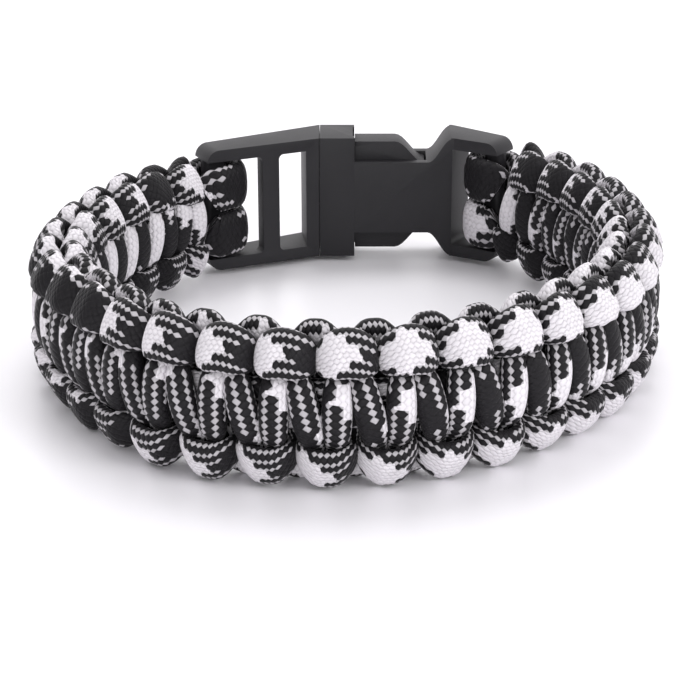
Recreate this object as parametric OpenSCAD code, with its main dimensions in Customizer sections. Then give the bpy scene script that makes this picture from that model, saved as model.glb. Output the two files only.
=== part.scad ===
// Paracord bracelet, fastened: a cobra woven band of cord, closed by a contoured side release buckle.
// The ring stands on the lower edge of its band. Its middle is the origin, +Z is up, and the buckle is at +Y.
// Lengths are in millimetres.

/* [Ring] */
// Width of the ring across its sides, over the cord
ring_w = 88.6; // [84:0.2:96]
// Depth of the ring, from the front of the band to the back of the buckle
ring_d = 95.8; // [91.6:0.2:103.6]

/* [Band] */
// Height of the woven band, edge to edge
band_h = 21.6; // [20.5:0.1:26]
// Diameter of the cord before it is pulled tight
cord_d = 4; // [3.6:0.1:4.2]
// How far the knots lean along the band, top against bottom
knot_lean = 2; // [0:0.1:3]
// Gap kept between a cord and what it passes round
cord_gap = 0.25; // [0.1:0.05:0.4]

/* [Buckle] */
// Height of the buckle
buckle_h = 19.8; // [18.5:0.1:22]
// Thickness of the buckle at its middle
buckle_t = 8; // [7:0.1:9]
// Thickness of the buckle at its two ends
buckle_end_t = 5; // [4.5:0.1:6]
// Place of the seam between plug and socket, from the middle of the ring
seam_x = -4.6; // [-7:0.1:-2]
// Gap between the plug and the socket
fit_gap = 0.25; // [0.15:0.05:0.4]
// Height of the rail above and below each slot
rail_h = 1.9; // [1.5:0.1:3]
// Thickness of the two bars that the cord is looped on
loop_bar_t = 2.4; // [2:0.1:3]

/* [Plug] */
// Length of the plug's base, from the seam to its end
plug_l = 20.6; // [19:0.1:26]
// Angle between the plug's base and the middle of the buckle
plug_turn = 27; // [20:1:32]
// Length of the bar that the cord is looped on
plug_bar_l = 4; // [3:0.1:5]
// Length of the slot that the cord passes through
plug_slot_l = 5.2; // [4.6:0.1:6]
// Length of the bar between the two slots
mid_bar_l = 2.8; // [2:0.1:4]
// Thickness of that bar, from the base's inner face
mid_bar_t = 2.4; // [2:0.1:4]
// Length of the spare slot
spare_slot_l = 4.4; // [3:0.1:5]
// How much longer the spare slot is at the base's outer face than at its inner one
spare_slot_flare = 2.8; // [0:0.1:3.2]
// Reach of the release tabs past the seam
tab_reach = 17; // [15:0.1:17.5]
// Height over both release tabs
tab_h = 17.8; // [17:0.1:18]
// Thickness of the spring arms and tabs
arm_t = 4.6; // [3.6:0.1:5]

/* [Socket] */
// Length of the collar that the plug's arms pass through
collar_l = 5.7; // [4.5:0.1:7]
// Length of the straight body, from the seam to the strap end
body_l = 21.6; // [20.5:0.1:24]
// Height of the body at its waist
waist_h = 11.8; // [10.5:0.1:13]
// Thickness of the socket's walls
wall_t = 1.5; // [1.2:0.1:1.7]
// Length of the strap end
strap_l = 9.8; // [9.4:0.1:12]
// Angle between the strap end and the middle of the buckle
strap_turn = 35; // [28:1:38]
// Length of the bar that the cord is looped on
strap_bar_l = 3.4; // [2.8:0.1:4]
// Length of the slot that the cord passes through
strap_slot_l = 5.2; // [4.6:0.1:5.6]

/* [Hidden] */
$fn = 32;

// Pulled tight, three layers of cord make the band's thickness, and a half knot takes a little less than a cord
band_t = 2.35 * cord_d;
knot_target = 0.915 * cord_d;
mid_z = band_h / 2;
seam_y = (ring_d - buckle_t) / 2;
slot_h = buckle_h - 2 * rail_h;
corner_r = 2;
slot_r = 0.8;
cut = 1;

// Places along the plug's base, from the seam, and along the strap end, from its own start
plug_bar_x = plug_l - plug_bar_l / 2;
mid_bar_x = plug_l - plug_bar_l - plug_slot_l - mid_bar_l;
spare_slot_x = mid_bar_x - spare_slot_l;
strap_bar_x = strap_l - strap_bar_l / 2;
strap_slot_x = strap_l - strap_bar_l - strap_slot_l;

// Colours
charcoal = [0.19, 0.19, 0.20];
cord_light = [0.80, 0.79, 0.81];
cord_dark = [0.26, 0.25, 0.28];
cord_grey = [0.45, 0.44, 0.47];

function turned(v, a) = [v[0] * cos(a) - v[1] * sin(a), v[0] * sin(a) + v[1] * cos(a)];
function flat(v) = [v[0], v[1], 0];
function unit(v) = v / norm(v);
function mix(a, b, t) = a + (b - a) * t;

// Middle of each loop bar, in plan
plug_bar = [seam_x, seam_y] + turned([-plug_bar_x, 0], plug_turn);
strap_bar = [seam_x + body_l, seam_y] + turned([strap_bar_x, 0], -strap_turn);

// The band's middle line in plan, from the plug's bar round the front to the socket's bar.
// Columns: x as a share of its half width, y as a share of its half depth
ROUTE = [
    [-0.72, 0.627],
    [-0.926, 0.282],
    [-1.005, -0.10],
    [-0.892, -0.482],
    [-0.53, -0.889],
    [0.00, -1.00],
    [0.481, -0.846],
    [0.848, -0.50],
    [0.999, -0.111],
    [0.985, 0.275],
    [0.836, 0.632]
];
half_size = [(ring_w - band_t) / 2, (ring_d - band_t) / 2];
lead_in = 12;
route_points = concat(
    [plug_bar + turned([lead_in, 0], plug_turn), plug_bar],
    [for (r = ROUTE) [r[0] * half_size[0], r[1] * half_size[1]]],
    [strap_bar, strap_bar + turned([-lead_in, 0], -strap_turn)]
);
route_steps = 16;

// A smooth curve through a list of points, but for its first and last, which only steer it
function curve_at(a, b, c, d, t) =
    ((2 * b) + (c - a) * t + (2 * a - 5 * b + 4 * c - d) * t * t + (3 * b - a - 3 * c + d) * t * t * t) / 2;
function curve(p, steps) = [
    for (i = [1 : len(p) - 3], j = [0 : steps - 1]) curve_at(p[i - 1], p[i], p[i + 1], p[i + 2], j / steps),
    p[len(p) - 2]
];
function lengths_to(p) = [for (i = 0, s = 0; i < len(p); i = i + 1, s = s + (i < len(p) ? norm(p[i] - p[i - 1]) : 0)) s];

route = curve(route_points, route_steps);
route_s = lengths_to(route);
route_l = route_s[len(route_s) - 1];
x_at = [for (i = [0 : len(route) - 1]) [route_s[i], route[i][0]]];
y_at = [for (i = [0 : len(route) - 1]) [route_s[i], route[i][1]]];

// Directions along the band and out of it, smoothed over a short stretch, and a place given as
// distance along the band, height, and distance out from the middle line
look = 1.5;
start_way = unit(route[1] - route[0]);
end_way = unit(route[len(route) - 1] - route[len(route) - 2]);
function plan_at(s) = [lookup(s, x_at), lookup(s, y_at)] + min(s, 0) * start_way + max(s - route_l, 0) * end_way;
function along_way(s) = unit(plan_at(s + look) - plan_at(s - look));
function out_way(s) = let (w = along_way(s)) [w[1], -w[0]];
function place(q) = let (p = plan_at(q[0]) + q[2] * out_way(q[0])) [p[0], p[1], q[1]];

// The loops draw in beside the buckle, and between them the weave holds a whole number of half knots
neck_l = 0.75 * cord_d;
weave_start = plug_bar_l / 2 + neck_l;
weave_l = route_l - weave_start - strap_bar_l / 2 - neck_l;
knots = round(weave_l / knot_target);
knot_l = weave_l / knots;

// One strand from the middle of an edge bump to the middle of its next crossing.
// Columns: along the band as a share of a half knot; in from the edge, and out from the band's middle
// face, as shares of the cord; half width first through the bump and then along the band, and half
// width the other way, as shares of the cord; how far the section has turned from lying on the edge
// to lying on the face; and how much its heading is held along the band
ALONG = 0;
INSET = 1;
OUT = 2;
HALF_A = 3;
HALF_B = 4;
TURN = 5;
HELD = 6;
WEAVE = [
    [0.57, 0.69, 0.74, 0.333, 0.740, 22, 0.8],
    [0.80, 0.87, 0.195, 0.190, 0.540, 26, 0],
    [0.74, 1.425, -0.288, 0.180, 0.210, 65, 0],
    [0.61, 1.925, -0.712, 0.350, 0.305, 88, 0]
];
rows = len(WEAVE);
cord_sides = 6;

// Each end of a strand is tucked in beside the core, this far along, in and out
TUCK = [-0.34, 1.08, 0.46, 0.20, 0.26, 10, 0];

// One ring of a strand: [distance along, height, out, half a, half b, turn, side, way round, held].
// side is 1 where the bumps are on the outer face, and -1 on the inner face
function knot_ring(k, i, side) =
    let (
        rising = i < rows,
        row = i < 0 || i > 2 * rows - 1 ? TUCK : WEAVE[rising ? i : 2 * rows - 1 - i],
        from_top = (k % 2 == 0) == (side > 0),
        inset = row[INSET] * cord_d,
        z = from_top == rising ? band_h - inset : inset,
        along = (k + (rising ? row[ALONG] : 1 - row[ALONG])) * knot_l,
        lean = knot_lean * (mid_z - z) / band_h
    )
    [
        weave_start + along + lean, z, side * row[OUT] * cord_d,
        row[HALF_A] * cord_d, row[HALF_B] * cord_d, rising ? row[TURN] : 180 - row[TURN],
        side, from_top ? 1 : -1, row[HELD]
    ];

// A closed skin round a list of rings, each with the same number of points
function skin_points(rings) = [for (r = rings, p = r) p];
function skin_faces(count, sides) = concat(
    [[for (j = [sides - 1 : -1 : 0]) j]],
    [for (i = [0 : count - 2], j = [0 : sides - 1])
        let (a = i * sides + j, b = i * sides + (j + 1) % sides) each [[a, b, b + sides], [a, b + sides, a + sides]]],
    [[for (j = [0 : sides - 1]) (count - 1) * sides + j]]
);

module skin(rings) {
    polyhedron(skin_points(rings), skin_faces(len(rings), len(rings[0])));
}

// The ring's points lie round its centre, across its heading
function knot_points(ring, heading) =
    let (
        n = flat(out_way(ring[0])),
        z = [0, 0, ring[7]],
        b0 = cos(ring[5]) * z - sin(ring[5]) * ring[6] * n,
        b = unit(b0 - (b0 * heading) * heading),
        a = cross(heading, b),
        c = place(ring)
    )
    [for (j = [0 : cord_sides - 1])
        let (w = 360 * (j + 0.5) / cord_sides) c + a * ring[3] * cos(w) + b * ring[4] * sin(w)];

module woven_strand(side) {
    last = rows * 2 - 1;
    rings = [for (k = [0 : knots - 1], i = [k > 0 ? 0 : -1 : k < knots - 1 ? last : last + 1])
        knot_ring(k, i, side)];
    centres = [for (r = rings) place(r)];
    n = len(rings);
    skin([for (i = [0 : n - 1])
        let (
            free = unit(centres[min(i + 1, n - 1)] - centres[max(i - 1, 0)]),
            held = flat(along_way(rings[i][0]))
        )
        knot_points(rings[i], unit(mix(free, held, rings[i][8])))]);
}

module outer_cord() color(cord_light) woven_strand(-1);

module inner_cord() color(cord_dark) woven_strand(1);

// The two core strands lie side by side inside the weave, and each ends in a loop round either bar
core_half_h = 0.41 * cord_d;
core_half_t = 0.32 * cord_d;
core_gap = 0.1;
loop_half_h = 0.75 * cord_d;
loop_half_t = 0.29 * cord_d;
loop_out = loop_bar_t / 2 + 1.6 * cord_gap + loop_half_t;
core_step = 7.5;
core_sides = 6;

// A loop round a bar, from the band to its free end.
// Columns: along from the bar's end edge as a share of a cord, out as a share of the loop's distance
// from the bar's middle, and how far it has spread from its place in the core to its place on the bar
LOOP_IN = [[2.6, 0, 0], [1.1, 0, 0.1], [0.68, 0.02, 0.2], [0.2, 0.68, 0.85], [-0.26, 1, 1]];
LOOP_TURNS = [-60, -20, 20, 60];
LOOP_BACK = [[-0.3, -1, 1], [0.05, -0.86, 0.9], [0.3, -0.7, 0.6]];

// Ring of a core strand: [distance along, height, out, half thickness, half height, way the thickness lies]
function loop_rings(bar_l, row) =
    let (
        low = row * (core_half_h + core_gap / 2),
        high = row * (loop_half_h + cord_gap / 2),
        turn_x = loop_bar_t / 2 - bar_l / 2 - cord_gap / 2
    )
    concat(
        [for (r = LOOP_IN) [
            bar_l / 2 + r[0] * cord_d, mid_z + mix(low, high, r[2]), r[1] * loop_out,
            mix(core_half_t, loop_half_t, r[2]), mix(core_half_h, loop_half_h, r[2]), 0]],
        [for (a = LOOP_TURNS) [
            turn_x - loop_out * cos(a), mid_z + high, -loop_out * sin(a), loop_half_t, loop_half_h, a]],
        [for (r = LOOP_BACK) [
            bar_l / 2 + r[0] * cord_d, mid_z + mix(low, high, r[2]), r[1] * loop_out,
            loop_half_t, mix(core_half_h, loop_half_h, r[2]), 0]]
    );

module core_strand(row) {
    first = loop_rings(plug_bar_l, row);
    second = loop_rings(strap_bar_l, row);
    from = first[0][0];
    to = route_l - second[0][0];
    count = ceil((to - from) / core_step);
    body = [for (i = [1 : count - 1]) [
        mix(from, to, i / count), first[0][1], 0, core_half_t, core_half_h, 0]];
    rings = concat(
        [for (i = [len(first) - 1 : -1 : 0]) first[i]],
        body,
        [for (r = second) [route_l - r[0], r[1], r[2], r[3], r[4], r[5]]]
    );
    centres = [for (r = rings) place(r)];
    n = len(rings);
    skin([for (i = [0 : n - 1])
        let (
            heading = unit(centres[min(i + 1, n - 1)] - centres[max(i - 1, 0)]),
            b0 = [0, 0, 1],
            b = unit(b0 - (b0 * heading) * heading),
            a = cross(heading, b)
        )
        [for (j = [0 : core_sides - 1])
            let (w = 360 * (j + 0.5) / core_sides)
            centres[i] + a * rings[i][3] * cos(w) / cos(180 / core_sides) + b * rings[i][4] * sin(w)]]);
}

module core_cord() color(cord_grey) for (row = [-1, 1]) core_strand(row);

// Buckle: each part is its plan, cut by its outline as seen from the front
module at_plug() translate([seam_x, seam_y, mid_z]) rotate([0, 0, plug_turn]) mirror([1, 0, 0]) children();

module at_socket() translate([seam_x, seam_y, mid_z]) children();

module at_strap_end() translate([seam_x + body_l, seam_y, mid_z]) rotate([0, 0, -strap_turn]) children();

module plan(points) translate([0, 0, -buckle_h / 2]) linear_extrude(height = buckle_h) polygon(points);

module front(depth) rotate([90, 0, 0]) linear_extrude(height = depth, center = true) children();

// A rectangle from x0 to x1, h high about the middle, with round corners
module plate(x0, x1, h, r) {
    translate([x0 + r, -h / 2]) square([x1 - x0 - 2 * r, h]);
    translate([x0, -h / 2 + r]) square([x1 - x0, h - 2 * r]);
    for (x = [x0 + r, x1 - r], y = [-h / 2 + r, h / 2 - r]) translate([x, y]) circle(r);
}

// Between its rails a loop bar is thin, with both its edges rounded
module bar_recess(x0, x1) {
    r = loop_bar_t / 2 - 0.1;
    difference() {
        translate([x0 - r, -buckle_t, -slot_h / 2]) cube([x1 - x0 + r + cut, 2 * buckle_t, slot_h]);
        translate([0, 0, -buckle_h / 2]) linear_extrude(height = buckle_h) {
            translate([x0 + r, -loop_bar_t / 2]) square([x1 - x0 - 2 * r, loop_bar_t]);
            translate([x0, r - loop_bar_t / 2]) square([x1 - x0, loop_bar_t - 2 * r]);
            for (x = [x0 + r, x1 - r], y = [r - loop_bar_t / 2, loop_bar_t / 2 - r]) translate([x, y]) circle(r);
        }
    }
}

wide = 2 * buckle_t;
plug_tip = turned([-plug_l, 0], plug_turn);
plug_side = turned([0, buckle_end_t / 2], plug_turn);
strap_tip = turned([strap_l, 0], -strap_turn);
strap_side = turned([0, buckle_end_t / 2], -strap_turn);

// Behind the bar between the slots the base is open, and the wall beside the spare slot slopes away
module slot_relief() {
    bar_half_t = mix(buckle_t, buckle_end_t, mid_bar_x / plug_l) / 2;
    translate([0, 0, -slot_h / 2]) linear_extrude(height = slot_h) {
        translate([mid_bar_x - slot_r, mid_bar_t - bar_half_t]) square([mid_bar_l + 2 * slot_r, buckle_t]);
        polygon([
            [spare_slot_x, -buckle_t / 2], [spare_slot_x + slot_r, -buckle_t / 2],
            [spare_slot_x + slot_r, buckle_t / 2], [spare_slot_x - spare_slot_flare, buckle_t / 2]
        ]);
    }
}

module plug_base() {
    intersection() {
        at_socket() plan([
            [-fit_gap / 2, buckle_t / 2], plug_tip + plug_side, plug_tip - plug_side, [-fit_gap / 2, -buckle_t / 2]
        ]);
        difference() {
            at_plug() front(wide) {
                plate(-buckle_t, plug_l, buckle_h, corner_r);
            }
            at_plug() front(wide + cut) {
                plate(spare_slot_x, mid_bar_x, slot_h, slot_r);
                plate(mid_bar_x + mid_bar_l, plug_l - plug_bar_l, slot_h, slot_r);
            }
            at_plug() slot_relief();
            at_plug() bar_recess(plug_l - plug_bar_l, plug_l);
        }
    }
}

// The release tab's outer edge runs level and then falls in a smooth curve to its tip
tab_x = collar_l + fit_gap;
tab_fall_x = 0.72 * tab_reach;
tab_tip_z = 0.60 * tab_h / 2;
arm_in_z = 0.50 * tab_h / 2;
arm_out_z = buckle_h / 2 - wall_t - fit_gap;
fall_steps = 8;

function eased(t) = (1 - cos(180 * t)) / 2;

module arm(side) {
    mirror([0, side > 0 ? 0 : 1]) polygon(concat(
        [[-wall_t, arm_in_z], [-wall_t, arm_out_z], [tab_x, arm_out_z], [tab_x, tab_h / 2]],
        [for (i = [0 : fall_steps]) [
            mix(tab_fall_x, tab_reach, i / fall_steps), mix(tab_h / 2, tab_tip_z, eased(i / fall_steps))]],
        [[tab_reach, arm_in_z]]
    ));
}

tongue_h = 3.2;
tongue_t = 3.2;

module buckle_plug() color(charcoal) {
    plug_base();
    at_socket() {
        front(arm_t) {
            arm(1);
            arm(-1);
        }
        front(tongue_t) translate([-wall_t, -tongue_h / 2]) square([tab_fall_x + wall_t, tongue_h]);
    }
}

// The socket's outline: full height at the collar, narrow at the waist, and nearly full again where it
// runs into the strap end, which stands a little proud of it
waist_x = tab_reach + 2 * fit_gap;
flare_steps = 10;
shoulder_l = 1;
shoulder_step = 0.1;

module socket_outline() {
    edge = [for (i = [0 : flare_steps]) [
        mix(waist_x, body_l - shoulder_l / 4, i / flare_steps),
        mix(waist_h, buckle_h - 2 * shoulder_step, eased(i / flare_steps)) / 2]];
    polygon(concat(
        [[fit_gap / 2, buckle_h / 2], [collar_l, buckle_h / 2], [collar_l, waist_h / 2]], edge,
        [for (i = [flare_steps : -1 : 0]) [edge[i][0], -edge[i][1]]],
        [[collar_l, -waist_h / 2], [collar_l, -buckle_h / 2], [fit_gap / 2, -buckle_h / 2]]
    ));
}

module socket_cavity() {
    pocket_t = arm_t + 2 * fit_gap;
    translate([-cut, -pocket_t / 2, wall_t - buckle_h / 2])
        cube([collar_l + cut, pocket_t, buckle_h - 2 * wall_t]);
    translate([collar_l - fit_gap, -pocket_t / 2, -buckle_h / 2])
        cube([waist_x - collar_l, pocket_t, buckle_h]);
}

module strap_end() {
    intersection() {
        at_strap_end() difference() {
            front(wide) plate(-buckle_t, strap_l, buckle_h, corner_r);
            front(wide + cut) plate(strap_slot_x, strap_l - strap_bar_l, slot_h, slot_r);
            bar_recess(strap_l - strap_bar_l, strap_l);
        }
        at_socket() translate([body_l, 0, 0]) plan([
            [-shoulder_l / 2, buckle_t / 2], [0, buckle_t / 2], strap_tip + strap_side,
            strap_tip - strap_side, [0, -buckle_t / 2], [-shoulder_l / 2, -buckle_t / 2]
        ]);
    }
}

module buckle_socket() color(charcoal) {
    at_socket() difference() {
        front(buckle_t) socket_outline();
        socket_cavity();
    }
    strap_end();
}

buckle_socket();
buckle_plug();
core_cord();
outer_cord();
inner_cord();
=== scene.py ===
"""Looks of the woven cord bracelet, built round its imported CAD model.
Lengths in the tables and named values are in millimetres, unless they say otherwise."""
import math

import bpy
import numpy as np
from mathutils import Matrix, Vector


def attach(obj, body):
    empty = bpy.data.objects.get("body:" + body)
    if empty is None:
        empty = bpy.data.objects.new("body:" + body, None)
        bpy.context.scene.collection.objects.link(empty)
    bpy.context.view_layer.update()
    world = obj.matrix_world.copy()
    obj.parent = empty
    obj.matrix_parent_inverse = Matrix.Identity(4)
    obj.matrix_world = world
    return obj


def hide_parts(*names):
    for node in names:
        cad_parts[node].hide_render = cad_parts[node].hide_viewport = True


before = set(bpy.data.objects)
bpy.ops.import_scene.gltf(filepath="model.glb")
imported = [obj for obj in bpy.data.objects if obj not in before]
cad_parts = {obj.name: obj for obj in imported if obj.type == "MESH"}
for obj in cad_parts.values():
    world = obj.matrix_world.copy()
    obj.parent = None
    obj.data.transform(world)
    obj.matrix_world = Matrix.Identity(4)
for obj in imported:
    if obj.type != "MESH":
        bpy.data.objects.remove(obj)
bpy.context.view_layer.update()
scene = bpy.context.scene
MM = 0.001

# Camera

CAMERA_AT = Vector((0.4, -279.2, 113.3)) * MM
LOOKS_DOWN = math.radians(22)
SENSOR_W, FOCAL_L = 36, 106.8


def make_camera():
    data = bpy.data.cameras.new("camera")
    data.sensor_width = SENSOR_W
    data.lens = FOCAL_L
    camera = bpy.data.objects.new("camera", data)
    camera.location = CAMERA_AT
    camera.rotation_euler = (math.pi / 2 - LOOKS_DOWN, 0, 0)
    scene.collection.objects.link(camera)
    scene.camera = camera


make_camera()

# Sizes that the CAD model is built from

RING_W, RING_D, BAND_H, CORD_D = 88.6, 95.8, 21.6, 4.0
KNOT_LEAN, CORD_GAP, LOOP_BAR_T = 2.0, 0.25, 2.4
BUCKLE_T, SEAM_X, BODY_L, COLLAR_L, FIT_GAP = 8.0, -4.6, 21.6, 5.7, 0.25
PLUG_L, PLUG_TURN, PLUG_BAR_L = 20.6, 27.0, 4.0
STRAP_L, STRAP_TURN, STRAP_BAR_L = 9.8, 35.0, 3.4
BAND_T = 2.35 * CORD_D
NECK_L = 0.75 * CORD_D
KNOT_PITCH = 0.915 * CORD_D
MID_Z = BAND_H / 2
SEAM_Y = (RING_D - BUCKLE_T) / 2

# How far before its start and past its end the middle line is led on, how many steps it has between two
# points, and how far behind and ahead its heading is taken from
LEAD_L, ROUTE_STEPS, HEADING_REACH = 12, 16, 1.5

# The band's middle line in plan, as shares of its half width and half depth
ROUTE = [
    (-0.72, 0.627), (-0.926, 0.282), (-1.005, -0.10), (-0.892, -0.482), (-0.53, -0.889), (0.00, -1.00),
    (0.481, -0.846), (0.848, -0.50), (0.999, -0.111), (0.985, 0.275), (0.836, 0.632),
]


def turned(x, y, degrees):
    a = math.radians(degrees)
    return np.array([x * math.cos(a) - y * math.sin(a), x * math.sin(a) + y * math.cos(a)])


def smooth_through(points, t):
    """A smooth curve through equally counted points, for counts t along them."""
    points = np.asarray(points, float)
    i = np.clip(np.floor(t).astype(int), 0, len(points) - 2)
    f = (t - i)[:, None]
    last = len(points) - 1
    a, b = points[np.clip(i - 1, 0, last)], points[i]
    c, d = points[np.clip(i + 1, 0, last)], points[np.clip(i + 2, 0, last)]
    return b + 0.5 * f * (c - a + f * (2 * a - 5 * b + 4 * c - d + f * (3 * b - a - 3 * c + d)))


def make_route():
    half = np.array([(RING_W - BAND_T) / 2, (RING_D - BAND_T) / 2])
    plug_bar = np.array([SEAM_X, SEAM_Y]) + turned(-(PLUG_L - PLUG_BAR_L / 2), 0, PLUG_TURN)
    strap_bar = np.array([SEAM_X + BODY_L, SEAM_Y]) + turned(STRAP_L - STRAP_BAR_L / 2, 0, -STRAP_TURN)
    points = [plug_bar + turned(LEAD_L, 0, PLUG_TURN), plug_bar]
    points += [np.array(r) * half for r in ROUTE]
    points += [strap_bar, strap_bar + turned(-LEAD_L, 0, -STRAP_TURN)]
    t = np.linspace(1, len(points) - 2, ROUTE_STEPS * (len(points) - 3) + 1)
    return smooth_through(points, t)


PLAN = make_route()
STEPS = np.linalg.norm(np.diff(PLAN, axis=0), axis=1)
PLAN_S = np.concatenate([[0], np.cumsum(STEPS)])
ROUTE_L = PLAN_S[-1]
START_WAY = (PLAN[1] - PLAN[0]) / STEPS[0]
END_WAY = (PLAN[-1] - PLAN[-2]) / STEPS[-1]


def plan_at(s):
    at = np.stack([np.interp(s, PLAN_S, PLAN[:, 0]), np.interp(s, PLAN_S, PLAN[:, 1])], -1)
    return at + np.minimum(s, 0)[:, None] * START_WAY + np.maximum(s - ROUTE_L, 0)[:, None] * END_WAY


def along_way(s):
    w = plan_at(s + HEADING_REACH) - plan_at(s - HEADING_REACH)
    w /= np.linalg.norm(w, axis=1)[:, None]
    return np.concatenate([w, np.zeros((len(s), 1))], 1)


def out_way(s):
    w = along_way(s)
    return np.stack([w[:, 1], -w[:, 0], w[:, 2]], -1)


def place(q):
    """Points from distance along the band, height, and distance out of its middle line."""
    p = plan_at(q[:, 0])
    return np.concatenate([p, q[:, 1:2]], 1) + q[:, 2:3] * out_way(q[:, 0])


WEAVE_START = PLUG_BAR_L / 2 + NECK_L
WEAVE_L = ROUTE_L - WEAVE_START - STRAP_BAR_L / 2 - NECK_L
KNOTS = round(WEAVE_L / KNOT_PITCH)
KNOT_L = WEAVE_L / KNOTS

# Swept cords

# Columns of stitches round a cord, and the sides of its tube
COLUMNS = 20
SIDES = 24


def unit(v):
    return v / np.linalg.norm(v, axis=1)[:, None]


def square_to(heading, v):
    """The way nearest to v that is square to the heading."""
    return unit(v - (v * heading).sum(1)[:, None] * heading)


def section(half_a, half_b, power):
    """Points of a flattened round section, evenly spaced along its outline, from +a towards +b."""
    w = np.linspace(0, 2 * math.pi, 361)
    c, s = np.cos(w), np.sin(w)
    x = half_a * np.sign(c) * np.abs(c) ** (2 / power)
    y = half_b * np.sign(s) * np.abs(s) ** (2 / power)
    run = np.concatenate([[0], np.cumsum(np.hypot(np.diff(x), np.diff(y)))])
    at = np.linspace(0, run[-1], SIDES + 1)[:-1]
    return np.interp(at, run, x), np.interp(at, run, y)


def tube_points(centres, a_way, b_way, halves, power):
    """Points of each ring, none of them below the floor, and then the middle points of the two ends."""
    points = np.zeros((len(centres), SIDES, 3))
    outlines = {}
    for i in range(len(centres)):
        key = (round(halves[i, 0], 2), round(halves[i, 1], 2), round(power[i], 1))
        if key not in outlines:
            outlines[key] = section(*key)
        x, y = outlines[key]
        points[i] = centres[i] + x[:, None] * a_way[i] + y[:, None] * b_way[i]
    points[:, :, 2] = np.maximum(points[:, :, 2], 0.0)
    return np.concatenate([points.reshape(-1, 3), [centres[0], centres[-1]]])


def tube_faces(rings):
    """Faces between the rings, and then those of the two ends."""
    side = np.arange(SIDES)
    beside = (side + 1) % SIDES
    base = np.arange(rings - 1)[:, None] * SIDES
    corners = [base + side, base + beside, base + SIDES + beside, base + SIDES + side]
    faces = np.stack(corners, -1).reshape(-1, 4).tolist()
    last, start_middle = (rings - 1) * SIDES, rings * SIDES
    faces += [(int(b), int(a), start_middle) for a, b in zip(side, beside)]
    faces += [(int(last + a), int(last + b), start_middle + 1) for a, b in zip(side, beside)]
    return faces


def braid_uv(stitch, columns):
    """The column of the braid and the stitch along it, for the corners of the same faces.
    columns holds for each ring its first column, and how much closer they lie at its +a and +b sides."""
    rings = len(stitch)
    t = np.linspace(0, 1, SIDES + 1)
    turn = 2 * math.pi * t
    first_column, close_a, close_b = np.broadcast_to(np.array(columns, float), (rings, 3)).T[:, :, None]
    u = first_column + COLUMNS * (t + (close_a * np.sin(turn) - close_b * np.cos(turn)) / (2 * math.pi))
    across = np.stack([u[:-1, :-1], u[:-1, 1:], u[1:, 1:], u[1:, :-1]], -1)
    along = np.stack([stitch[:-1], stitch[:-1], stitch[1:], stitch[1:]], -1)
    along = np.broadcast_to(along[:, None], (rings - 1, SIDES, 4))
    uv = np.stack([across, along], -1).reshape(-1, 2)
    ends = [(u[0, c], stitch[0]) for i in range(SIDES) for c in (i + 1, i, i)]
    ends += [(u[-1, c], stitch[-1]) for i in range(SIDES) for c in (i, i + 1, i)]
    return np.concatenate([uv, np.array(ends, float)])


def sweep(name, centres, heading, b_way, halves, power, stitch, columns):
    """A closed tube round its centres, with the braid on it."""
    a_way = np.cross(heading, b_way)
    mesh = bpy.data.meshes.new(name)
    points = tube_points(centres, a_way, b_way, halves, power) * MM
    mesh.from_pydata(points.tolist(), [], tube_faces(len(centres)))
    mesh.uv_layers.new(name="braid").data.foreach_set("uv", braid_uv(stitch, columns).ravel())
    mesh.polygons.foreach_set("use_smooth", [True] * len(mesh.polygons))
    # From +a towards +b a ring turns backwards about the heading, so the faces are turned to look out
    mesh.flip_normals()
    mesh.update()
    obj = bpy.data.objects.new(name, mesh)
    scene.collection.objects.link(obj)
    return obj


# Half a knot of one strand, from the middle of its edge bump to its crossing.
# Columns: along the band as a share of a half knot; in from the edge and out from the band's middle face,
# as shares of the cord; half width through the bump, and half width the other way, as shares of the cord;
# turn from lying on the edge to lying on the face; how much the heading is held along the band;
# squareness of the section; stitches of the braid from the bump's middle
HALF_KNOT = [
    (0.00, 0.76, 0.66, 0.34, 0.80, 29, 1.0, 2.4, 0.0),
    (0.44, 0.83, 0.63, 0.34, 0.77, 29, 0.9, 2.3, 2.4),
    (0.79, 1.05, 0.28, 0.25, 0.60, 31, 0.1, 2.1, 5.1),
    (0.84, 1.26, -0.12, 0.21, 0.35, 44, 0.0, 2.0, 7.1),
    (0.74, 1.52, -0.38, 0.32, 0.25, 74, 0.0, 2.0, 9.2),
    (0.60, 1.92, -0.64, 0.44, 0.35, 88, 0.0, 2.2, 11.5),
    (0.50, 2.70, -0.74, 0.48, 0.38, 90, 0.0, 2.2, 15.0),
]
# The strand's end, tucked into the weave beside the buckle
TUCK = (-0.34, 1.08, 0.46, 0.20, 0.26, 10, 0.0, 2.0, -5.5)
# Stitches of the braid in half a knot, and rings of the tube from one row of the table to the next
STITCHES = 30.0
RINGS = 6
# How unevenly a bump is tied: along the band, up, out and in half thickness as shares of the cord, and
# its turn in degrees. No bump is further off than the limit times these.
UNEVEN = np.array([0.025, 0.018, 0.022, 0.012, 2.2])
UNEVEN_LIMIT = 1.6
# How much closer the braid's columns lie on one side of a bump, and how much wider on a crossing's front
BUMP_CLOSER, CROSSING_WIDER = 0.25, 0.45

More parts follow.
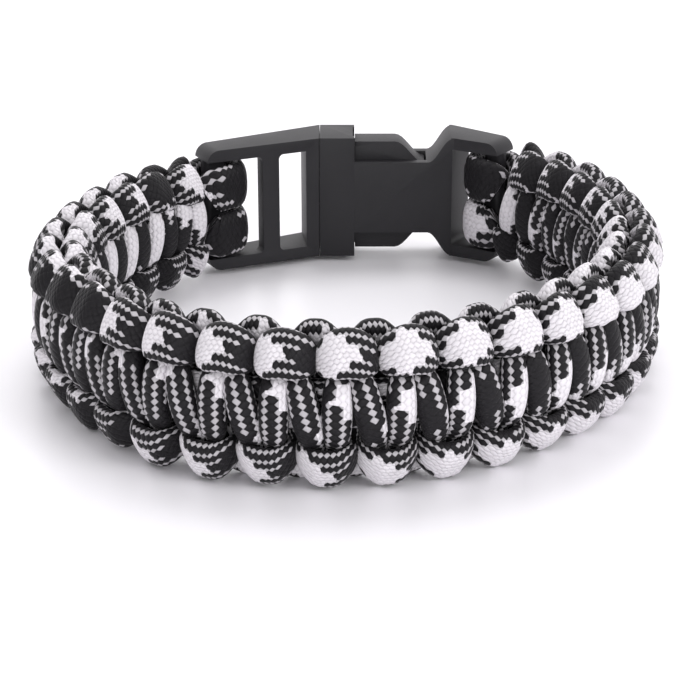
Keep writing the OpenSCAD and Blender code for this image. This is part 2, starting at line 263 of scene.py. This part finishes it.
# Along a strand: half knot, stitches that its pattern is ahead, and columns that it is rolled by
INNER_DRIFT = [
    (0, 0, 5), (3, 10, 5), (11, 10, 5), (16, 13, 2), (18, 14, 1), (20, 8.2, 1), (22, 8.6, 1),
    (26, 9, 1), (28, 7.7, 1), (31, 6, 1), (35, 5.5, 1), (38, 6.5, 3), (42, 9, 3), (53, 12, 1),
    (55, 10, 5), (56, 10, 5),
]
OUTER_DRIFT = [
    (0, 26, 1.5), (1, 26, 1.5), (3, 35, 1.5), (5, 28.5, 1.5), (7, 27, 1.5), (9, 21, 4.5), (13, 20, 4.5),
    (16, 18.3, 1.5), (26, 13.3, 1.5), (30, 11.3, 2), (34, 9.3, 3.2), (44, 4.3, 3.2), (56, -1.7, 1.5),
]

# How much lower the band's top is, and how much higher its bottom, where it draws in towards the slots.
# Columns: distance from the band's end, top, bottom
DRAWN_IN_PLUG = [(0, 2.9, 1.0), (9, 2.5, 1.0), (18, 1.2, 0.8), (44, 1.3, 0.5), (62, 0, 0)]
DRAWN_IN_SOCKET = [(0, 0.9, 3.2), (6, 0.7, 2.2), (12, 0.3, 0.4), (18, 0, 0)]


def drawn_in(s, z):
    """The height z, where the band's edges are drawn in at distance s along it."""
    i = 1 if z > MID_Z else 2
    share = abs(z - MID_Z) / MID_Z
    for rows, at in ((DRAWN_IN_PLUG, s), (DRAWN_IN_SOCKET, ROUTE_L - s)):
        less = np.interp(at, [r[0] for r in rows], [r[i] for r in rows]) * share
        z += less if i == 2 else -less
    return z


def strand(name, side, drift):
    """One working strand. side is 1 where its bumps are on the outer face, and -1 on the inner face."""
    uneven = np.random.default_rng(11 + side).normal(0, 1, (KNOTS + 1, len(UNEVEN)))
    uneven = np.clip(uneven, -UNEVEN_LIMIT, UNEVEN_LIMIT) * UNEVEN
    table = [(row, True) for row in HALF_KNOT]
    for row in HALF_KNOT[-2:0:-1]:
        back = list(row)
        back[0], back[5], back[8] = 1 - row[0], 180 - row[5], STITCHES - row[8]
        table.append((back, False))

    def ring(k, row, rising):
        from_top = (k % 2 == 0) == (side > 0)
        inset = row[1] * CORD_D
        z = BAND_H - inset if from_top == rising else inset
        s = WEAVE_START + (k + row[0]) * KNOT_L + KNOT_LEAN * (MID_Z - z) / BAND_H
        z = drawn_in(s, z)
        at = k + row[8] / STITCHES
        ahead, rolled = (np.interp(at, *zip(*[(d[0], d[i]) for d in drift])) for i in (1, 2))
        on_bump = row[6]
        along, up, out, thick, tilt = on_bump * uneven[min(k if rising else k + 1, KNOTS)]
        s += along * CORD_D
        z += up * CORD_D
        phi = row[5] + tilt if rising else row[5] - tilt
        phi = phi if k % 2 == 0 else 180 - phi
        closer_a = BUMP_CLOSER * on_bump if (k % 2 == 0) == rising else -BUMP_CLOSER * on_bump
        closer_b = -CROSSING_WIDER * (1 - on_bump)
        return [s, z, side * (row[2] + out) * CORD_D, (row[3] + thick) * CORD_D, row[4] * CORD_D, phi,
                on_bump, row[7], at * STITCHES + ahead, rolled, closer_a, closer_b]

    rows = [ring(0, TUCK, True)]
    rows += [ring(k, row, rising) for k in range(KNOTS) for row, rising in table]
    rows.append(ring(KNOTS, HALF_KNOT[0], True))
    out_tuck = list(TUCK)
    out_tuck[0], out_tuck[8] = -TUCK[0], -TUCK[8]
    rows.append(ring(KNOTS, out_tuck, True))
    q = smooth_through(rows, np.linspace(0, len(rows) - 1, (len(rows) - 1) * RINGS + 1))
    centres = place(q)
    # A strand's own way, and on a bump the band's instead
    free = unit(np.gradient(centres, axis=0))
    held = along_way(q[:, 0])
    heading = unit(free + np.clip(q[:, 6:7], 0, 1) * (held - free))
    phi = np.radians(q[:, 5:6])
    b0 = side * (np.cos(phi) * np.array([0, 0, 1]) - np.sin(phi) * out_way(q[:, 0]))
    return sweep(name, centres, heading, square_to(heading, b0), q[:, 3:5], q[:, 7], q[:, 8], q[:, 9:12])


# Core strands, each with a flat loop round either bar of the buckle.
# Columns: along from the bar's end edge as a share of a cord, out as a share of the loop's distance from
# the bar's middle, and how far it has spread from its place in the core to its place on the bar
LOOP_IN = [(2.6, 0, 0), (1.1, 0, 0.1), (0.68, 0.02, 0.2), (0.2, 0.68, 0.85), (-0.26, 1, 1)]
LOOP_TURNS = (-60, -20, 20, 60)
LOOP_BACK = [(-0.3, -1, 1), (0.05, -0.86, 0.9), (0.3, -0.7, 0.6)]
CORE_HALF = (0.32 * CORD_D, 0.41 * CORD_D)
LOOP_HALF = (0.35 * CORD_D, 0.91 * CORD_D)
LOOP_OUT = LOOP_BAR_T / 2 + 2.2 * CORD_GAP + LOOP_HALF[0]
# Half the gap between the two strands, the squareness of their section, their points from one loop to the
# other, and rings of the tube from one point to the next
CORE_GAP_HALF, CORE_SQUARENESS, CORE_POINTS, CORE_RINGS = 0.05, 2.3, 40, 8
# Columns: name, -1 for the lower and 1 for the upper one, its first stitch, and its length of a stitch
CORE_STRANDS = [("core_strand_low", -1, 12, 0.888), ("core_strand_high", 1, 9, 0.92)]


def mix(a, b, t):
    return a + (b - a) * t


def loop_rows(bar_l, row):
    """Rows from the band to the free end: distance along, height, out, half thickness, half height."""
    low = row * (CORE_HALF[1] + CORE_GAP_HALF)
    high = row * (LOOP_HALF[1] + CORD_GAP / 2)
    turn_x = LOOP_BAR_T / 2 - bar_l / 2 - CORD_GAP / 2
    rows = [[bar_l / 2 + x * CORD_D, MID_Z + mix(low, high, t), o * LOOP_OUT,
             mix(CORE_HALF[0], LOOP_HALF[0], t), mix(CORE_HALF[1], LOOP_HALF[1], t)]
            for x, o, t in LOOP_IN]
    for turn in LOOP_TURNS:
        a = math.radians(turn)
        rows.append([turn_x - LOOP_OUT * math.cos(a), MID_Z + high, -LOOP_OUT * math.sin(a), *LOOP_HALF])
    rows += [[bar_l / 2 + x * CORD_D, MID_Z + mix(low, high, t), o * LOOP_OUT,
              LOOP_HALF[0], mix(CORE_HALF[1], LOOP_HALF[1], t)] for x, o, t in LOOP_BACK]
    return rows


def core_strand(name, row, first_stitch, stitch_l):
    first = loop_rows(PLUG_BAR_L, row)[::-1]
    second = [[ROUTE_L - r[0], *r[1:]] for r in loop_rows(STRAP_BAR_L, row)]
    start, end = first[-1], second[0]
    body = [[mix(start[0], end[0], i / CORE_POINTS), start[1], 0, *CORE_HALF]
            for i in range(1, CORE_POINTS)]
    rows = np.array(first + body + second)
    q = smooth_through(rows, np.linspace(0, len(rows) - 1, (len(rows) - 1) * CORE_RINGS + 1))
    centres = place(q)
    heading = unit(np.gradient(centres, axis=0))
    up = square_to(heading, np.array([[0, 0, 1.0]]))
    run = np.concatenate([[0], np.cumsum(np.linalg.norm(np.diff(centres, axis=0), axis=1))])
    squareness = np.full(len(q), CORE_SQUARENESS)
    stitch = first_stitch + run / stitch_l
    return sweep(name, centres, heading, up, q[:, 3:5], squareness, stitch, [0, 0, 0])


# Materials


class Nodes:
    """Short names for making shader nodes and joining them."""

    def __init__(self, material):
        material.use_nodes = True
        self.tree = material.node_tree
        self.tree.nodes.clear()

    def add(self, kind, inputs=(), **settings):
        node = self.tree.nodes.new("ShaderNode" + kind)
        for key, value in settings.items():
            setattr(node, key, value)
        for socket, value in dict(inputs).items():
            self.put(node.inputs[socket], value)
        return node

    def put(self, socket, value):
        if isinstance(value, bpy.types.NodeSocket):
            self.tree.links.new(value, socket)
        else:
            socket.default_value = value

    def math(self, operation, *values):
        node = self.tree.nodes.new("ShaderNodeMath")
        node.operation = operation
        for socket, value in zip(node.inputs, values):
            self.put(socket, value)
        return node.outputs[0]

    def mix(self, share, a, b, kind="FLOAT"):
        node = self.tree.nodes.new("ShaderNodeMix")
        node.data_type = kind
        at = {"FLOAT": (2, 3, 0), "RGBA": (6, 7, 2)}[kind]
        self.put(node.inputs[0], share)
        self.put(node.inputs[at[0]], a)
        self.put(node.inputs[at[1]], b)
        return node.outputs[at[2]]

    def finish(self, **inputs):
        shader = self.add("BsdfPrincipled", {k.replace("_", " "): v for k, v in inputs.items()})
        self.add("OutputMaterial", {"Surface": shader.outputs[0]})


# A stitch of the braid: how much it leans, and how round its outline is, from 1 for a diamond
STITCH_LEAN, STITCH_ROUNDNESS = 0.14, 1.3
# How fast it falls off across and along its column, and what is added to each for a light stitch. A light
# stitch falls off faster across, so the dark colour is painted over its edges where they would lie in
# shade: painted shade
FALL_ACROSS, LIGHT_ACROSS, FALL_ALONG, LIGHT_ALONG = 0.92, 0.68, 1.92, -0.25
# How much lower a light stitch ranks than a dark one, where they meet, so that the dark colour is painted
# further over its shaded edge: painted shade
LIGHT_LESS = 0.10


def stitch_at(n, u, v, column):
    """The nearest stitch of a column: its rank against the next column's, its height here, whether it is
    light, the place on it across and along, and a number that tells it from others."""
    across = n.math("SUBTRACT", n.math("SUBTRACT", u, column), 0.5)
    odd = n.math("FLOORED_MODULO", column, 2)
    slope = n.math("SUBTRACT", 1, n.math("MULTIPLY", odd, 2))
    lean = n.math("MULTIPLY", slope, STITCH_LEAN)
    rows = n.math("SUBTRACT", v, n.math("MULTIPLY_ADD", lean, across, n.math("MULTIPLY", odd, 0.5)))
    row = n.math("FLOOR", rows)
    along = n.math("SUBTRACT", n.math("SUBTRACT", rows, row), 0.5)
    passed = n.math("MULTIPLY", slope, column)
    carrier = n.math("FLOORED_MODULO", n.math("SUBTRACT", row, passed), COLUMNS)
    light = n.math("LESS_THAN", carrier, COLUMNS / 2 - 0.5)
    fall_across = n.math("MULTIPLY_ADD", light, LIGHT_ACROSS, FALL_ACROSS)
    fall_along = n.math("MULTIPLY_ADD", light, LIGHT_ALONG, FALL_ALONG)
    far_across = n.math("MULTIPLY", n.math("ABSOLUTE", across), fall_across)
    far_along = n.math("MULTIPLY", n.math("ABSOLUTE", along), fall_along)
    far = n.math("ADD", *(n.math("POWER", d, STITCH_ROUNDNESS) for d in (far_across, far_along)))
    height = n.math("SUBTRACT", 1, far)
    rank = n.math("MULTIPLY_ADD", light, -LIGHT_LESS, height)
    return rank, height, light, across, along, n.math("MULTIPLY_ADD", row, 1.7, column)


def braided(name, light, dark):
    """The cord's braided cover: 40 carriers, half of each way light and half dark, in 20 columns."""
    material = bpy.data.materials.new(name)
    n = Nodes(material)
    uv = n.add("SeparateXYZ", {0: n.add("UVMap", uv_map="braid").outputs[0]})
    u, v = uv.outputs[0], uv.outputs[1]
    column = n.math("FLOOR", u)
    beside = n.math("ADD", column, n.math("SIGN", n.math("SUBTRACT", n.math("FRACT", u), 0.5)))
    found = [stitch_at(n, u, v, c) for c in (column, beside)]
    near = n.math("GREATER_THAN", found[1][0], found[0][0])
    seen = [n.mix(near, a, b) for a, b in zip(found[0][1:], found[1][1:])]
    height, is_light, across, along, which = seen
    both_light = n.math("MULTIPLY", found[0][2], found[1][2])
    # Fibres run across a stitch, so their noise is drawn out that way
    wide, narrow = n.math("MULTIPLY", across, 1.6), n.math("MULTIPLY", along, 11)
    fibre_at = n.add("CombineXYZ", {0: wide, 1: narrow, 2: which})
    fibre = n.add("TexNoise", {"Vector": fibre_at.outputs[0], "Scale": 1.0, "Detail": 2.0}).outputs[0]
    at = n.add("TexCoord").outputs["Object"]
    cloudy = n.add("TexNoise", {"Vector": at, "Scale": 260.0, "Detail": 2.0}).outputs[0]
    uneven = n.add("TexWhiteNoise", {"W": which}, noise_dimensions="1D").outputs["Value"]
    # Uneven tone of fibres, stitches and cloudy patches, into which painted shade is multiplied below
    tone_and_painted_shade = n.math("MULTIPLY_ADD", fibre, 0.24, n.math("MULTIPLY_ADD", uneven, 0.24, 0.70))
    tone_and_painted_shade = n.math("MULTIPLY_ADD", cloudy, 0.14, tone_and_painted_shade)
    # Painted shade in the grooves between stitches, darker towards each stitch's edges
    painted_groove_shade = n.math("SMOOTH_MIN", 1.0, n.math("MULTIPLY_ADD", height, 0.7, 0.84), 0.2)
    # Painted shade: a light stitch beside a dark one is darkened towards its edges, as if it lay lower
    # than the dark one
    painted_edge_shade = n.math("MINIMUM", 1.0, n.math("MULTIPLY_ADD", height, 2.2, 0.05))
    tone_and_painted_shade = n.math("MULTIPLY", n.math("MULTIPLY", tone_and_painted_shade, painted_groove_shade), n.mix(both_light, painted_edge_shade, 1.0))
    black = (0, 0, 0, 1)
    # Painted shade: a light stitch beside a dark one is painted dimmer all over, and both colours go
    # darker where the tone and painted shade above are low
    low = n.mix(n.mix(both_light, 0.10, 0.35), black, (*light, 1), "RGBA")
    high = n.mix(n.mix(both_light, 0.60, 1.0), black, (*light, 1), "RGBA")
    light_now = n.mix(tone_and_painted_shade, low, high, "RGBA")
    dark_now = n.mix(tone_and_painted_shade, (*(0.4 * c for c in dark), 1), (*dark, 1), "RGBA")
    colour = n.mix(is_light, dark_now, light_now, "RGBA")
    domed = n.math("MULTIPLY", height, n.math("SUBTRACT", 2.0, height))
    relief = n.math("MULTIPLY_ADD", uneven, 0.30, n.math("MULTIPLY_ADD", fibre, 0.20, domed))
    bump = n.add("Bump", {"Height": relief, "Distance": 0.00011, "Strength": 1.0})
    rough = n.mix(is_light, 0.52, 0.62)
    n.finish(Base_Color=colour, Roughness=rough, Normal=bump.outputs[0], Sheen_Weight=0.05,
             Sheen_Roughness=0.4, Specular_IOR_Level=0.2)
    return material


def moulded(name):
    """Black plastic from a mould with a fine matte grain."""
    material = bpy.data.materials.new(name)
    n = Nodes(material)
    at = n.add("TexCoord").outputs["Object"]
    grain = n.add("TexNoise", {"Vector": at, "Scale": 5200.0, "Detail": 3.0, "Roughness": 0.6}).outputs[0]
    cloud = n.add("TexNoise", {"Vector": at, "Scale": 190.0, "Detail": 3.0}).outputs[0]
    colour = n.mix(cloud, (0.013, 0.0125, 0.015, 1), (0.019, 0.018, 0.021, 1), "RGBA")
    rough = n.math("MULTIPLY_ADD", cloud, 0.12, n.math("MULTIPLY_ADD", grain, 0.10, 0.42))
    height = n.math("MULTIPLY_ADD", cloud, 0.35, grain)
    bump = n.add("Bump", {"Height": height, "Distance": 0.00003, "Strength": 0.6})
    n.finish(Base_Color=colour, Roughness=rough, Normal=bump.outputs[0], Specular_IOR_Level=0.4)
    return material


def plain(name, colour, roughness):
    material = bpy.data.materials.new(name)
    Nodes(material).finish(Base_Color=(*colour, 1), Roughness=roughness)
    return material


def dress(obj, material, node):
    """Puts a piece in the place of a node of the CAD model."""
    obj.data.materials.append(material)
    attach(obj, "root")
    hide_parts(node)


LIGHT = (0.81, 0.78, 0.82)
DARK = (0.010, 0.009, 0.011)

inner = strand("inner_strand", 1, INNER_DRIFT)
dress(inner, braided("inner_cord_braid", LIGHT, DARK), "inner_cord")
outer = strand("outer_strand", -1, OUTER_DRIFT)
dress(outer, braided("outer_cord_braid", LIGHT, DARK), "outer_cord")
core_look = braided("core_cord_braid", LIGHT, DARK)
for core_row in CORE_STRANDS:
    dress(core_strand(*core_row), core_look, "core_cord")

# Buckle

# What is left of the plug's running gap at the collar, how near to a face its points are taken to lie,
# and the width of the moulded edges' rounding
SHOWN_GAP, FACE_NEAR, EDGE_W = 0.08, 0.02, 0.32


def close_running_gap(mesh):
    """Draws the plug's faces that meet the collar up to it, so that no light shows through its gap."""
    x = np.zeros(len(mesh.vertices) * 3)
    mesh.vertices.foreach_get("co", x)
    less = FIT_GAP - SHOWN_GAP
    for from_seam, move in ((-FIT_GAP / 2, less), (COLLAR_L + FIT_GAP, -less)):
        x[0::3][np.abs(x[0::3] - (SEAM_X + from_seam) * MM) < FACE_NEAR * MM] += move * MM
    mesh.vertices.foreach_set("co", x)


def rounded(node, name):
    """A copy of a buckle part with its moulded edges rounded."""
    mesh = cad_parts[node].data.copy()
    mesh.materials.clear()
    if node == "buckle_plug":
        close_running_gap(mesh)
    obj = bpy.data.objects.new(name, mesh)
    scene.collection.objects.link(obj)
    bpy.context.view_layer.objects.active = obj
    weld = obj.modifiers.new("weld", "WELD")
    weld.merge_threshold = 0.001 * MM
    flat = obj.modifiers.new("flat", "DECIMATE")
    flat.decimate_type = "DISSOLVE"
    flat.angle_limit = math.radians(1.0)
    bevel = obj.modifiers.new("bevel", "BEVEL")
    bevel.width = EDGE_W * MM
    bevel.segments = 3
    bevel.limit_method = "ANGLE"
    bevel.angle_limit = math.radians(28)
    bevel.miter_outer = "MITER_ARC"
    for modifier in [m.name for m in obj.modifiers]:
        bpy.ops.object.modifier_apply(modifier=modifier)
    for polygon in mesh.polygons:
        polygon.use_smooth = True
    mesh.set_sharp_from_angle(angle=math.radians(35))
    return obj


plastic = moulded("matte_plastic")
for part in ("buckle_socket", "buckle_plug"):
    dress(rounded(part, part + "_moulded"), plastic, part)

# Floor and light

# Half the floor's width, in metres
FLOOR_HALF = 3


def make_floor():
    mesh = bpy.data.meshes.new("floor")
    corners = [(x * FLOOR_HALF, y * FLOOR_HALF, 0) for x, y in ((-1, -1), (1, -1), (1, 1), (-1, 1))]
    mesh.from_pydata(corners, [], [(0, 1, 2, 3)])
    mesh.materials.append(plain("floor", (0.92, 0.91, 0.94), 0.35))
    floor = bpy.data.objects.new("floor", mesh)
    scene.collection.objects.link(floor)


def make_sky():
    """A white room, brighter at its back and above."""
    world = bpy.data.worlds.new("world")
    scene.world = world
    sky = Nodes(world)
    way = sky.add("SeparateXYZ", {0: sky.add("TexCoord").outputs["Generated"]})
    from_back = sky.math("MULTIPLY_ADD", way.outputs[1], 0.60, 0.67)
    from_above = sky.math("MULTIPLY_ADD", sky.math("MAXIMUM", way.outputs[2], 0.0), 0.43, from_back)
    back = sky.add("Background", {"Color": (1.0, 0.985, 1.0, 1), "Strength": from_above})
    sky.add("OutputWorld", {"Surface": back.outputs[0]})


def softbox(name, at, aim, width, watts):
    """A lamp of the width, aimed at a point. Both places and the width are in metres."""
    data = bpy.data.lights.new(name, "AREA")
    data.shape = "RECTANGLE"
    data.size = width
    data.size_y = width * 0.7
    data.energy = watts
    light = bpy.data.objects.new(name, data)
    light.location = at
    light.rotation_euler = (Vector(aim) - Vector(at)).to_track_quat("-Z", "Y").to_euler()
    scene.collection.objects.link(light)


make_floor()
make_sky()
softbox("key", (0.45, -0.32, 0.32), (0, 0.02, 0.01), 0.3, 1.4)
softbox("low", (-0.10, -0.80, 0.12), (0, 0, 0.01), 0.4, 2.0)
softbox("top", (-0.05, 0.30, 0.66), (0, 0, 0), 0.4, 1.5)
scene.view_settings.view_transform = "Standard"

bpy.context.view_layer.update()
